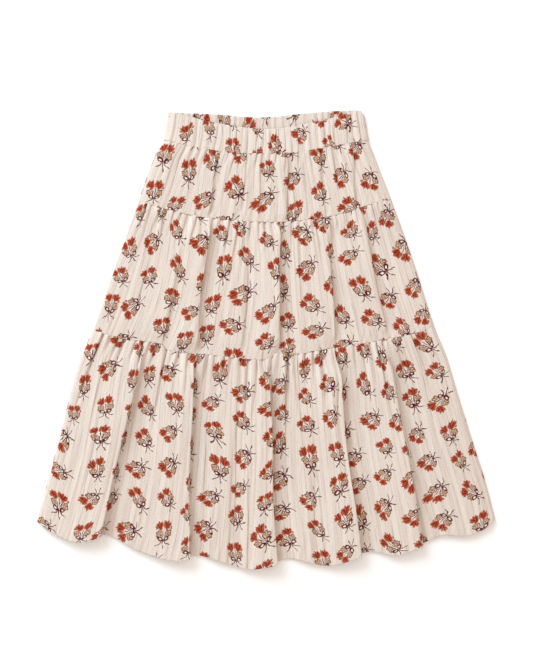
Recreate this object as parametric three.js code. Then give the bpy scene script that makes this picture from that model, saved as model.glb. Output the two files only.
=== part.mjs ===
// Tiered ruffle skirt, laid flat with its front up: a gathered elastic waistband over three
// tiers, each gathered onto the one above. Millimetres. The back lies on z = 0, the waist is
// towards +Y and the right of the front, as it is seen, towards +X.

import * as THREE from 'three';

// Thickness of the walls and the room between them
const CLOTH = 1.2;
const WAISTBAND = 2.4;
const SEAM_GAP = 0.3;
const LAYER_GAP = 0.3;

// How far the back lifts off the floor where it is gathered
const BACK_PUCKER = 1.2;

// Width over which the front rises from the folded side edge to its full height
const SIDE_ROLL = 16;

// Part of a tier's length over which a fold rises or dies away at its ends
const FOLD_END = 0.14;

// Widths of a fold's drop over which its lean dies away on the rising side
const LEAN_BEHIND = 2;

// Unevenness of the gathers: how far each strays from its even place and its half width, both
// in shares of the even pitch, and its height as a share of the highest
const GATHER_STRAY = 0.4;
const GATHER_HALF = { narrow: 0.42, wide: 0.58 };
const GATHER_LOWEST = 0.65;

// Odd factors that scatter the uneven numbers
const SCATTER = { first: 12.99, second: 78.23, spread: 4375.85 };

// Cloth colour and finish
const COTTON = { color: 0xe8dacf, roughness: 0.9, metalness: 0 };

// The two side folds of the skirt, seen from above, from the hem to the waist
const SIDE_FOLDS = [
  { y: -256, left: -314, right: 313 },
  { y: -197, left: -298, right: 298 },
  { y: -131, left: -280, right: 277 },
  { y: -66, left: -264, right: 257 },
  { y: -20, left: -250, right: 243 },
  { y: 16, left: -234, right: 228 },
  { y: 100, left: -205, right: 201 },
  { y: 187, left: -174, right: 170 },
  { y: 252, left: -150, right: 145 },
  { y: 273, left: -138, right: 137 },
  { y: 312, left: -131, right: 130 },
];

// Each seam and edge across the skirt, from the left side fold to the right one
const WAIST_FRONT = [
  { x: -131, y: 309 },
  { x: -63, y: 293 },
  { x: 6, y: 286 },
  { x: 80, y: 299 },
  { x: 130, y: 312 },
];
const WAIST_BACK = [
  { x: -131, y: 309 },
  { x: -70, y: 306 },
  { x: -8, y: 302 },
  { x: 70, y: 309 },
  { x: 130, y: 312 },
];
const BAND_SEAM = [
  { x: -138, y: 272 },
  { x: -97, y: 262 },
  { x: -40, y: 254 },
  { x: 30, y: 254 },
  { x: 82, y: 262 },
  { x: 137, y: 272 },
];
const UPPER_SEAM = [
  { x: -174, y: 188 },
  { x: -127, y: 175 },
  { x: -76, y: 165 },
  { x: -8, y: 160 },
  { x: 50, y: 162 },
  { x: 107, y: 172 },
  { x: 130, y: 180 },
  { x: 170, y: 191 },
];
const MIDDLE_SEAM = [
  { x: -234, y: 13 },
  { x: -202, y: 2 },
  { x: -143, y: -6 },
  { x: -132, y: -15 },
  { x: -75, y: -21 },
  { x: -20, y: -27 },
  { x: 4, y: -26 },
  { x: 13, y: -19 },
  { x: 50, y: -19 },
  { x: 92, y: -11 },
  { x: 146, y: -3 },
  { x: 203, y: 9 },
  { x: 227, y: 18 },
];
const HEM = [
  { x: -313, y: -248 },
  { x: -290, y: -264 },
  { x: -256, y: -275 },
  { x: -219, y: -266 },
  { x: -174, y: -287 },
  { x: -125, y: -300 },
  { x: -93, y: -294 },
  { x: -52, y: -305 },
  { x: -22, y: -312 },
  { x: 4, y: -307 },
  { x: 32, y: -298 },
  { x: 78, y: -307 },
  { x: 104, y: -303 },
  { x: 130, y: -291 },
  { x: 152, y: -289 },
  { x: 180, y: -293 },
  { x: 217, y: -276 },
  { x: 241, y: -266 },
  { x: 274, y: -267 },
  { x: 299, y: -257 },
  { x: 312, y: -246 },
];

// The back hem stays hidden above the front hem
const BACK_HEM_LIFT = 4;

// Folds of each front tier. A fold is a roll that climbs slowly from its left and drops
// steeply at its right edge, which lies at x = top, middle and bottom down its length; rise
// and drop are the widths of those two slopes, high its height at each end, over how far
// the roll leans over the hollow on its right, and from and to its ends down the tier
const UPPER_FOLDS = [
  { top: -70, middle: -73, bottom: -77, rise: 34, drop: 8, high: [2, 2.8], over: 2, from: 0, to: 1 },
  { top: -28, middle: -32, bottom: -38, rise: 26, drop: 8, high: [1.4, 1.4], over: 1, from: 0, to: 0.9 },
  { top: 29, middle: 28, bottom: 26, rise: 38, drop: 8, high: [2.4, 3], over: 2, from: 0, to: 1 },
  { top: 70, middle: 74, bottom: 80, rise: 30, drop: 9, high: [1.2, 1.6], over: 1, from: 0, to: 1 },
  { top: 116, middle: 118, bottom: 121, rise: 32, drop: 8, high: [2, 2.6], over: 2, from: 0, to: 1 },
];
const MIDDLE_FOLDS = [
  { top: -110, middle: -126, bottom: -146, rise: 40, drop: 11, high: [1, 3.2], over: 2, from: 0.2, to: 1 },
  { top: -76, middle: -88, bottom: -96, rise: 46, drop: 10, high: [3.4, 5], over: 3, from: 0, to: 1 },
  { top: -28, middle: -32, bottom: -36, rise: 30, drop: 10, high: [1.2, 2], over: 1, from: 0.2, to: 1 },
  { top: 20, middle: 17, bottom: 18, rise: 44, drop: 11, high: [4.2, 6], over: 4, from: 0, to: 1 },
  { top: 80, middle: 88, bottom: 93, rise: 44, drop: 10, high: [3, 4.4], over: 3, from: 0.04, to: 1 },
  { top: 130, middle: 145, bottom: 166, rise: 42, drop: 11, high: [3, 3.8], over: 3, from: 0, to: 1 },
];
const LOWER_FOLDS = [
  { top: -163, middle: -193, bottom: -217, rise: 72, drop: 13, high: [5, 8], over: 5, from: 0.02, to: 1.2 },
  { top: -98, middle: -98, bottom: -101, rise: 66, drop: 13, high: [6, 8.4], over: 5, from: 0, to: 1.2 },
  { top: -44, middle: -50, bottom: -56, rise: 34, drop: 14, high: [1.6, 2.6], over: 2, from: 0.1, to: 1.2 },
  { top: 4, middle: 7, bottom: 14, rise: 54, drop: 13, high: [7, 9.6], over: 5, from: 0, to: 1.2 },
  { top: 58, middle: 60, bottom: 62, rise: 34, drop: 15, high: [1.4, 2.2], over: 2, from: 0.2, to: 1.2 },
  { top: 95, middle: 110, bottom: 128, rise: 58, drop: 13, high: [6, 9.4], over: 5, from: 0.02, to: 1.2 },
  { top: 162, middle: 188, bottom: 212, rise: 60, drop: 13, high: [4.6, 7.6], over: 5, from: 0.02, to: 1.2 },
];

// The pieces of cloth, each between its upper and its lower line. Gathers are the small
// ripples that hang from its upper seam: how many, how high, and the lengths of the
// shortest and the longest; loft is how far the front stands off the back at each end
const PIECES = [
  {
    name: 'waistband_front', back: false, wall: WAISTBAND, upper: WAIST_FRONT, lower: BAND_SEAM,
    columns: 100, stations: [0, 0.4, 0.75, 1], loft: [0.8, 0.8], folds: [],
    gathers: { count: 29, high: 1.7, short: 60, long: 120 },
  },
  {
    name: 'waistband_back', back: true, wall: WAISTBAND, upper: WAIST_BACK, lower: BAND_SEAM,
    columns: 84, stations: [0, 0.5, 1], loft: [0, 0], folds: [],
    gathers: { count: 28, high: BACK_PUCKER, short: 60, long: 120 },
  },
  {
    name: 'upper_tier_front', back: false, wall: CLOTH, upper: BAND_SEAM, lower: UPPER_SEAM,
    columns: 100, stations: [0, 0.14, 0.4, 0.7, 1], loft: [2.6, 2.2], folds: UPPER_FOLDS,
    gathers: { count: 29, high: 2, short: 24, long: 110 },
  },
  {
    name: 'upper_tier_back', back: true, wall: CLOTH, upper: BAND_SEAM, lower: UPPER_SEAM,
    columns: 56, stations: [0, 0.3, 0.7, 1], loft: [0, 0], folds: [],
    gathers: { count: 12, high: BACK_PUCKER, short: 30, long: 90 },
  },
  {
    name: 'middle_tier_front', back: false, wall: CLOTH, upper: UPPER_SEAM, lower: MIDDLE_SEAM,
    columns: 140, stations: [0, 0.07, 0.22, 0.45, 0.75, 1], loft: [2.2, 2.6], folds: MIDDLE_FOLDS,
    gathers: { count: 36, high: 2.8, short: 26, long: 120 },
  },
  {
    name: 'middle_tier_back', back: true, wall: CLOTH, upper: UPPER_SEAM, lower: MIDDLE_SEAM,
    columns: 56, stations: [0, 0.2, 0.5, 1], loft: [0, 0], folds: [],
    gathers: { count: 12, high: BACK_PUCKER, short: 40, long: 85 },
  },
  {
    name: 'lower_tier_front', back: false, wall: CLOTH, upper: MIDDLE_SEAM, lower: HEM,
    columns: 140, stations: [0, 0.05, 0.15, 0.32, 0.54, 0.78, 1], loft: [2.6, 3.4], folds: LOWER_FOLDS,
    gathers: { count: 42, high: 3.4, short: 30, long: 170 },
  },
  {
    name: 'lower_tier_back', back: true, wall: CLOTH, upper: MIDDLE_SEAM, lower: HEM,
    columns: 56, stations: [0, 0.15, 0.4, 0.7, 1], loft: [0, 0], folds: [],
    gathers: { count: 12, high: BACK_PUCKER, short: 50, long: 160 },
  },
];

// A smooth line through a table's rows: its column "of" where its column "by" has a value
function along(rows, by, of, value) {
  const last = rows.length - 1;
  let i = 0;
  while (i < last - 1 && rows[i + 1][by] < value) {
    i += 1;
  }
  const slopeAt = (k) => {
    const a = rows[Math.max(k - 1, 0)];
    const b = rows[Math.min(k + 1, last)];
    return (b[of] - a[of]) / (b[by] - a[by]);
  };
  const span = rows[i + 1][by] - rows[i][by];
  const t = THREE.MathUtils.clamp((value - rows[i][by]) / span, 0, 1);
  const start = rows[i][of] * (1 + 2 * t) * (1 - t) ** 2 + span * slopeAt(i) * t * (1 - t) ** 2;
  const end = rows[i + 1][of] * (3 - 2 * t) * t ** 2 - span * slopeAt(i + 1) * (1 - t) * t ** 2;
  return start + end;
}

// A hump that is 1 at 0 and falls smoothly to 0 at 1
const hump = (t) => (Math.abs(t) < 1 ? 0.5 + 0.5 * Math.cos(Math.PI * t) : 0);

// An even spread of numbers between 0 and 1 that looks irregular
function uneven(i, j) {
  const scattered = Math.sin(i * SCATTER.first + j * SCATTER.second) * SCATTER.spread;
  return THREE.MathUtils.euclideanModulo(scattered, 1);
}

// Height up the skirt of a seam or edge line, at s from its left end to its right one
function lineAt(line, s) {
  const first = line[0];
  const last = line[line.length - 1];
  const x = THREE.MathUtils.lerp(first.x, last.x, s);
  return along(line, 'x', 'y', x);
}

// Point of a piece's middle surface in plan, at s across it and v down it, before its folds
function planAt(piece, s, v) {
  const yAt = (across) => {
    const top = lineAt(piece.upper, across) - SEAM_GAP / 2;
    const hidden = piece.back && piece.lower === HEM ? BACK_HEM_LIFT : 0;
    const bottom = lineAt(piece.lower, across) + SEAM_GAP / 2 + hidden;
    return THREE.MathUtils.lerp(top, bottom, v);
  };
  const left = along(SIDE_FOLDS, 'y', 'left', yAt(0));
  const right = along(SIDE_FOLDS, 'y', 'right', yAt(1));
  return { x: THREE.MathUtils.lerp(left, right, s), y: yAt(s), width: right - left };
}

// Height of the small ripples below a piece's upper seam
function gatherAt(piece, s, v, length) {
  const { count, high, short, long } = piece.gathers;
  let height = 0;
  for (let i = 0; i < count; i += 1) {
    const centre = (i + 0.5 + GATHER_STRAY * (uneven(i, count) - 0.5)) / count;
    const half = THREE.MathUtils.lerp(GATHER_HALF.narrow, GATHER_HALF.wide, uneven(i, count + 1)) / count;
    const reach = THREE.MathUtils.lerp(short, long, uneven(i, count + 2) ** 2);
    const fade = hump(Math.min((v * length) / reach, 1));
    const share = THREE.MathUtils.lerp(GATHER_LOWEST, 1, uneven(i, count + 3));
    height += high * share * fade * hump((s - centre) / half);
  }
  return Math.min(height, high);
}

// Rise of the folds and how far they lean to the right, at s across and v down
function foldAt(piece, s, v, width, left) {
  let height = 0;
  let lean = 0;
  for (const fold of piece.folds) {
    const curve = [{ v: 0, x: fold.top }, { v: 0.5, x: fold.middle }, { v: 1, x: fold.bottom }];
    const edge = along(curve, 'v', 'x', v) - fold.over;
    const distance = s * width + left - edge;
    const slope = distance < 0 ? fold.rise : fold.drop;
    const startFade = 1 - hump(Math.max(v - fold.from, 0) / FOLD_END);
    const endFade = 1 - hump(Math.max(fold.to - v, 0) / FOLD_END);
    const strength = startFade * endFade;
    const high = THREE.MathUtils.lerp(fold.high[0], fold.high[1], v);
    height += high * strength * hump(distance / slope);
    const leanWidth = distance < 0 ? fold.drop * LEAN_BEHIND : fold.drop;
    lean += fold.over * strength * hump(distance / leanWidth);
  }
  return { height, lean };
}

// Roundness of the side fold: 0 at either side edge, 1 inside it
function sideRoll(s, width) {
  const inside = Math.min(s, 1 - s) * width;
  const t = Math.min(inside / SIDE_ROLL, 1);
  return Math.sqrt(1 - (1 - t) ** 2);
}

// Middle surface of a back panel: it lies on the floor but where it is gathered
function backPoint(piece, s, v) {
  const plan = planAt(piece, s, v);
  const length = lineAt(piece.upper, s) - lineAt(piece.lower, s);
  const pucker = gatherAt(piece, s, v, length) * sideRoll(s, plan.width);
  return new THREE.Vector3(plan.x, plan.y, piece.wall / 2 + pucker);
}

// Middle surface of a front panel: it lies over the back, with its gathers and folds
function frontPoint(piece, s, v) {
  const plan = planAt(piece, s, v);
  const length = lineAt(piece.upper, s) - lineAt(piece.lower, s);
  const left = plan.x - s * plan.width;
  const fold = foldAt(piece, s, v, plan.width, left);
  const loft = THREE.MathUtils.lerp(piece.loft[0], piece.loft[1], v);
  const rise = BACK_PUCKER + loft + gatherAt(piece, s, v, length) + fold.height;
  const rest = piece.wall + LAYER_GAP + piece.wall / 2;
  const z = rest + rise * sideRoll(s, plan.width);
  return new THREE.Vector3(plan.x + fold.lean, plan.y, z);
}

// A wall of cloth round a middle surface: two skins, closed along all four edges
function wallGeometry(piece) {
  const { columns, stations, wall, back } = piece;
  const pointAt = back ? backPoint : frontPoint;
  const across = columns + 1;
  const skins = { upper: [], lower: [] };
  for (const v of stations) {
    const row = [];
    for (let i = 0; i < across; i += 1) {
      row.push(pointAt(piece, i / columns, v));
    }
    for (let i = 0; i < across; i += 1) {
      const tangent = row[Math.min(i + 1, columns)].clone().sub(row[Math.max(i - 1, 0)]);
      const out = back ? new THREE.Vector3(0, 0, 1) : new THREE.Vector3(-tangent.z, 0, tangent.x);
      out.normalize().multiplyScalar(wall / 2);
      skins.upper.push(row[i].clone().add(out));
      skins.lower.push(row[i].clone().sub(out));
    }
  }
  const points = [...skins.upper, ...skins.lower];
  const under = across * stations.length;
  const faces = [];
  const quad = (a, b, c, d) => faces.push(a, b, c, a, c, d);
  const lastRow = (stations.length - 1) * across;
  for (let i = 0; i < columns; i += 1) {
    for (let start = 0; start < lastRow; start += across) {
      const a = start + i;
      quad(a, a + across, a + across + 1, a + 1);
      quad(under + a, under + a + 1, under + a + across + 1, under + a + across);
    }
    const b = lastRow + i;
    quad(i, i + 1, under + i + 1, under + i);
    quad(b, under + b, under + b + 1, b + 1);
  }
  for (let start = 0; start < lastRow; start += across) {
    const right = start + columns;
    quad(start, under + start, under + start + across, start + across);
    quad(right, right + across, under + right + across, under + right);
  }
  const geometry = new THREE.BufferGeometry().setFromPoints(points);
  geometry.setIndex(faces);
  geometry.computeVertexNormals();
  return geometry;
}

const group = new THREE.Group();
group.name = 'tiered_ruffle_skirt';
for (const piece of PIECES) {
  const mesh = new THREE.Mesh(wallGeometry(piece), new THREE.MeshStandardMaterial(COTTON));
  mesh.name = piece.name;
  group.add(mesh);
}

export default group;
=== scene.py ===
import math

import bpy
import numpy as np
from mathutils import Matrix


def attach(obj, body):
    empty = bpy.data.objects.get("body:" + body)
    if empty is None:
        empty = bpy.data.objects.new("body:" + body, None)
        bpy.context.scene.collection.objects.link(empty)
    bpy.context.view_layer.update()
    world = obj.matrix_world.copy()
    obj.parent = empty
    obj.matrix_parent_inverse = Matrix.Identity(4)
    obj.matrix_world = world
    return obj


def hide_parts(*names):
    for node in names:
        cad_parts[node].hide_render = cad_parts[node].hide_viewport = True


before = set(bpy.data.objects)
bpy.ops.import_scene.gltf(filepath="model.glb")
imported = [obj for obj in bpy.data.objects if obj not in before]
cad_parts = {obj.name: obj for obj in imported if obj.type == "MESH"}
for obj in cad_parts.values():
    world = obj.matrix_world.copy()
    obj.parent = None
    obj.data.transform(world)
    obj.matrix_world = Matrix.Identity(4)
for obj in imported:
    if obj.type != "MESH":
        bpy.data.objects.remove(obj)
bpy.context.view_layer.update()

# The waistband: a strip of the printed cotton folded over a wide elastic and sewn down, so that
# it is two plies thick and gathered all round. Laid flat, its front dips below its back, whose
# inner face shows above it.

# Edges and seams of the laid skirt, as x and y from left to right
WAIST_FRONT = [
    (-0.131, 0.309), (-0.063, 0.293), (0.006, 0.286), (0.080, 0.299),
    (0.120, 0.3105), (0.126, 0.3105), (0.130, 0.306),
]
WAIST_BACK = [
    (-0.131, 0.309), (-0.070, 0.306), (-0.008, 0.302), (0.070, 0.309),
    (0.120, 0.3116), (0.126, 0.3108), (0.130, 0.306),
]
BAND_SEAM = [
    (-0.138, 0.272), (-0.097, 0.262), (-0.040, 0.254),
    (0.030, 0.254), (0.082, 0.262), (0.137, 0.272),
]

# The skirt's two side folds, from the hem to the waist: y, left x, right x
SIDE_FOLDS = [
    (-0.256, -0.314, 0.313),
    (-0.197, -0.298, 0.298),
    (-0.131, -0.280, 0.277),
    (-0.066, -0.264, 0.257),
    (-0.020, -0.250, 0.243),
    (0.016, -0.234, 0.228),
    (0.100, -0.205, 0.201),
    (0.187, -0.174, 0.170),
    (0.252, -0.150, 0.145),
    (0.273, -0.138, 0.137),
    (0.312, -0.131, 0.130),
]

# How much shorter the back lies than the front at the hem
BACK_HEM_LIFT = 0.004

# The three numbers that scatter the gathers and the small folds
SCATTER_FIRST, SCATTER_SECOND, SCATTER_SPREAD = 12.99, 78.23, 4375.85


def through(rows, value, column=1):
    """A smooth line through a table's rows, read where its first column has a value."""
    at = np.array([row[0] for row in rows])
    of = np.array([row[column] for row in rows])
    value = np.asarray(value, float)
    lower = np.maximum(np.arange(len(at)) - 1, 0)
    upper = np.minimum(np.arange(len(at)) + 1, len(at) - 1)
    slope = (of[upper] - of[lower]) / (at[upper] - at[lower])
    i = np.clip(np.searchsorted(at, value) - 1, 0, len(at) - 2)
    span = at[i + 1] - at[i]
    t = np.clip((value - at[i]) / span, 0, 1)
    start = of[i] * (1 + 2 * t) * (1 - t) ** 2 + span * slope[i] * t * (1 - t) ** 2
    end = of[i + 1] * (3 - 2 * t) * t**2 - span * slope[i + 1] * (1 - t) * t**2
    return start + end


def hump(t):
    """1 at 0, and smoothly down to 0 at 1."""
    return np.where(np.abs(t) < 1, 0.5 + 0.5 * np.cos(np.pi * t), 0)


def uneven(i, j):
    """A number between 0 and 1 that looks irregular and is always the same."""
    return (math.sin(i * SCATTER_FIRST + j * SCATTER_SECOND) * SCATTER_SPREAD) % 1


def line_at(line, s):
    """Height up the skirt of a seam or edge, at s from its left end to its right."""
    return through(line, line[0][0] + (line[-1][0] - line[0][0]) * s)


def plan(piece, s, v, back):
    """Where the cloth lies seen from above, at s across a piece and v down it."""
    lift = BACK_HEM_LIFT if back and piece["hem"] else 0

    def height(across):
        top = line_at(piece["back_top"] if back else piece["top"], across)
        return top + (line_at(piece["bottom"], across) + lift - top) * v

    left = through(SIDE_FOLDS, height(0 * s), 1)
    right = through(SIDE_FOLDS, height(0 * s + 1), 2)
    return left + (right - left) * s, height(s), right - left


def step_up(t):
    """0 below 0, 1 above 1, and smooth between."""
    t = np.clip(t, 0, 1)
    return t * t * (3 - 2 * t)


# Shares of a fold's own widths: how far the hollow stays flat before it comes up again, how far
# the lean reaches back into the rise, and where the tucked cloth begins in the drop
HOLLOW_FLAT = 0.35
LEAN_BACK = 0.4
TUCK_BEGIN = 0.2


def pleat(distance, rise, drop, trough, high, deep, over):
    """One fold: it rises slowly from the left, drops steeply at its right edge into a hollow and
    comes up again. Gives its height, its lean over the hollow and where cloth is tucked in."""
    before = high * hump(distance / rise)
    falling = high - (high + deep) * step_up(distance / drop)
    after = -deep * (1 - step_up((distance - drop - HOLLOW_FLAT * trough) / trough))
    height = np.where(distance < 0, before, np.where(distance < drop, falling, after))
    lean = over * hump(distance / np.where(distance < 0, rise * LEAN_BACK, drop))
    return height, lean, (distance > TUCK_BEGIN * drop) * (distance < drop)


def fading(v, start, end, length):
    """1 between start and end down a piece, fading outside them over a length."""
    before = hump(np.maximum(v - start, 0) / length)
    after = hump(np.maximum(end - v, 0) / length)
    return (1 - before) * (1 - after)


# Gathers, in shares of their spacing: how far one strays from its even place and wanders on its
# way down, its least half width and how much more it can be. Then the lowest one's share of the
# height and how far they lean over. Then the crease at a gather's foot: its place in half widths,
# its own half width, its least depth and what sharp ones have more, how much longer those are,
# and the least cloth tucked in.
GATHER_STRAY = 0.4
GATHER_WANDER, WANDER_LENGTH, WANDER_START = 0.25, 0.034, 9
GATHER_HALF, GATHER_HALF_MORE = 0.42, 0.16
GATHER_LOWEST = 0.65
GATHER_LEAN, LEAN_MIDDLE = 0.9, 0.3
CREASE_OUT = 0.8
CREASE_HALF = 0.0013
CREASE_DEPTH, CREASE_DEPTH_MORE = 0.3, 0.5
CREASE_LONGER = 0.8
CREASE_TUCK = 0.06


def gathers(piece, s, down, width):
    """The ripples that hang from the upper seam, with a narrow crease at the foot of each."""
    count, high, short, long = piece["gathers"]
    height = np.zeros_like(s + down)
    lean = np.zeros_like(height)
    tucked = np.zeros_like(height)
    for i in range(count):
        centre = (i + 0.5 + GATHER_STRAY * (uneven(i, count) - 0.5)) / count
        bend = np.sin(down / WANDER_LENGTH + WANDER_START * uneven(i, 5))
        centre = centre + GATHER_WANDER / count * bend
        half = (GATHER_HALF + GATHER_HALF_MORE * uneven(i, count + 1)) / count
        reach = short + (long - short) * uneven(i, count + 2) ** 2
        fade = hump(np.minimum(down / reach, 1))
        share = GATHER_LOWEST + (1 - GATHER_LOWEST) * uneven(i, count + 3)
        ripple = share * fade * hump((s - centre) / half)
        height += high * ripple
        lean += (uneven(i, count + 4) - LEAN_MIDDLE) * GATHER_LEAN * half * width * ripple
        sharp = uneven(i, count + 6) ** 3
        crease = np.exp(-(((s - centre - half * CREASE_OUT) * width / CREASE_HALF) ** 2))
        fade = hump(np.minimum(down / (reach * (1 + CREASE_LONGER * sharp)), 1))
        height -= high * (CREASE_DEPTH + CREASE_DEPTH_MORE * sharp) * crease * fade
        tucked += (CREASE_TUCK + sharp) * crease
    return np.minimum(height, high), lean, tucked


# Large folds: the share of a piece over which one ends, how much it swells and shrinks on its way
# down, and the cloth tucked in for its height. Small folds: how far one strays and slants, its
# least rise and what it has besides, its drop, its hollow, the hollow's depth for its height, and
# its lean.
FOLD_END = 0.14
FOLD_SWELL, SWELL_TURNS, SWELL_START = 0.16, 9, 300
FOLD_TUCK = 500
SMALL_STRAY = 0.8
SMALL_SLANT = 0.012
SMALL_RISE, SMALL_RISE_MORE = 0.004, 0.010
SMALL_DROP = 0.0022
SMALL_HOLLOW = 0.006
SMALL_DEPTH = 0.6
SMALL_LEAN = 0.0010


def folds(piece, s, v, width, left):
    """Height of the large folds and of the small ones between them, their lean and their tucks."""
    height = np.zeros_like(s + v)
    lean = np.zeros_like(height)
    tucked = np.zeros_like(height)
    for row in piece["folds"]:
        top, middle, bottom, rise, drop, hollow, high_top, high_bottom, deep, over, start, end = row
        edge = through([(0, top), (0.5, middle), (1, bottom)], v) - over
        swell = 1 - FOLD_SWELL * np.sin(SWELL_TURNS * v + SWELL_START * top)
        strength = fading(v, start, end, FOLD_END) * swell
        high = high_top + (high_bottom - high_top) * v
        up, aside, tuck = pleat(s * width + left - edge, rise, drop, hollow, high, deep, over)
        height += up * strength
        lean += aside * strength
        tucked += tuck * high_bottom * FOLD_TUCK * fading(v, start, end, 3 * FOLD_END)
    count, low, tall, short, long = piece["small_folds"]
    for i in range(count):
        place = (i + 0.5 + SMALL_STRAY * (uneven(i, 21) - 0.5)) / count
        place = place + SMALL_SLANT * (uneven(i, 22) - 0.5) * v
        middle = uneven(i, 23)
        reach = short + (long - short) * uneven(i, 24)
        strength = hump((v - middle) / reach)
        size = low + (tall - low) * uneven(i, 25) ** 2
        rise = SMALL_RISE + SMALL_RISE_MORE * uneven(i, 26)
        deep = size * SMALL_DEPTH
        distance = (s - place) * width
        up, aside, _ = pleat(distance, rise, SMALL_DROP, SMALL_HOLLOW, size, deep, SMALL_LEAN)
        height += up * strength
        lean += aside * strength
    return height, lean, tucked


# Crinkles: share, length across, how much they bow, start, length down, slant and start down.
# Bends that they follow: share, length down and slant.
CRINKLES = [
    (1.0, 0.00122, 1.3, 0, 0.013, 0.0071, 0),
    (0.8, 0.00173, -1.7, 2, 0.019, -0.011, 1),
    (0.7, 0.0027, 2.1, 4, 0.028, 0.017, 3),
]
BENDS = [(0.6, 0.021, 0.033), (0.4, 0.047, -0.019)]


def crinkle(s, down, width, height):
    """The small creases of washed cotton, long down the cloth and short across it."""
    x = s * width
    bend = sum(share * np.sin(down / long + x / slant) for share, long, slant in BENDS)
    waves = 0
    for share, across, bow, start, long, slant, start_down in CRINKLES:
        ripple = np.sin(x / across + bow * bend + start)
        waves = waves + share * ripple * np.sin(down / long + x / slant + start_down)
    return height * waves


# How wide the side folds are rounded, and how far down below a seam and up above one the cloth
# turns in
SIDE_ROLL = 0.016
DIP_BELOW, DIP_ABOVE = 0.004, 0.0008


def side_roll(s, width):
    """Roundness of the side fold: 0 at either side edge, 1 inside it."""
    inside = np.minimum(s, 1 - s) * width
    return np.sqrt(1 - (1 - np.minimum(inside / SIDE_ROLL, 1)) ** 2)


def seam_dip(piece, down, length):
    """How the cloth turns in at its seams: wide below a seam, narrow above it."""
    below, above = piece["dip"]
    return below * np.exp(-down / DIP_BELOW) + above * np.exp(-(length - down) / DIP_ABOVE)


# The room between the two layers, the least height of the front over the back, and the back's
# own puckers and share of the crinkles
LAYER_GAP = 0.0003
CLEAR = 0.0005
BACK_PUCKER = 0.0012
BACK_CRINKLE = 0.5


def layer(piece, s, v, back):
    """Middle surface of a front or a back, as a grid of points, and where its cloth is tucked."""
    x, y, width = plan(piece, s, v, back)
    left = x - s * width
    length = line_at(piece["top"], s) - line_at(piece["bottom"], s)
    down = v * length
    roll = side_roll(s, width)
    ripple, lean, tucked = gathers(piece, s, down, width)
    wall = piece["wall"]
    if back:
        share = np.clip(ripple / piece["gathers"][1], 0, 1)
        small = np.abs(crinkle(s, down, width, piece["crinkle"] * BACK_CRINKLE))
        z = piece["thick"] / 2 + (BACK_PUCKER * share + small) * roll
        return np.stack([x, y + 0 * z, z], -1), tucked
    high, over, tucks = folds(piece, s, v, width, left)
    loft = piece["loft"][0] + (piece["loft"][1] - piece["loft"][0]) * v
    small = crinkle(s, down, width, piece["crinkle"])
    rise = BACK_PUCKER + loft + ripple + high + small - seam_dip(piece, down, length)
    z = wall + LAYER_GAP + wall / 2 + np.maximum(rise, CLEAR) * roll
    return np.stack([x + over * roll + lean * roll, y + 0 * z, z], -1), tucked + tucks


# How far the rows are drawn to the seams, how round the side folds are, how far up the hem is
# turned, how high its rim stays over the floor, the least tuck, so that no row is without one,
# and the margin at the sides of the baking map
ROWS_DRAWN = 0.9
SIDE_BULGE = 0.45
HEM_TURNING = 0.009
OFF_THE_FLOOR = 0.0002
LEAST_TUCK = 1e-9
BAKE_MARGIN = 0.004


def rows_down(count):
    """Stations down a piece, close together at its two seams."""
    t = np.linspace(0, 1, count)
    return t - ROWS_DRAWN * np.sin(2 * np.pi * t) / (2 * np.pi)


def cloth_round(piece, v, halves):
    """Cloth metres round a tube, from the steps and the tucks of its two halves: the length of
    each row, with the cloth that is tucked into its folds, evened out down the piece."""
    shares = []
    for part, tucks in halves:
        tucks = tucks * part + LEAST_TUCK
        hidden = np.maximum(piece["cut"][0] / 2 - part.sum(1, keepdims=True), 0)
        part = part + hidden * tucks / tucks.sum(1, keepdims=True)
        share = np.cumsum(part, 1) / part.sum(1, keepdims=True)
        curve = np.polynomial.polynomial.polyfit(v, share, 2)
        shares.append(np.polynomial.polynomial.polyval(v, curve).T)
    start = np.zeros((len(v), 1))
    return np.concatenate([start, shares[0], 1 + shares[1]], 1) * piece["cut"][0] / 2


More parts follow.
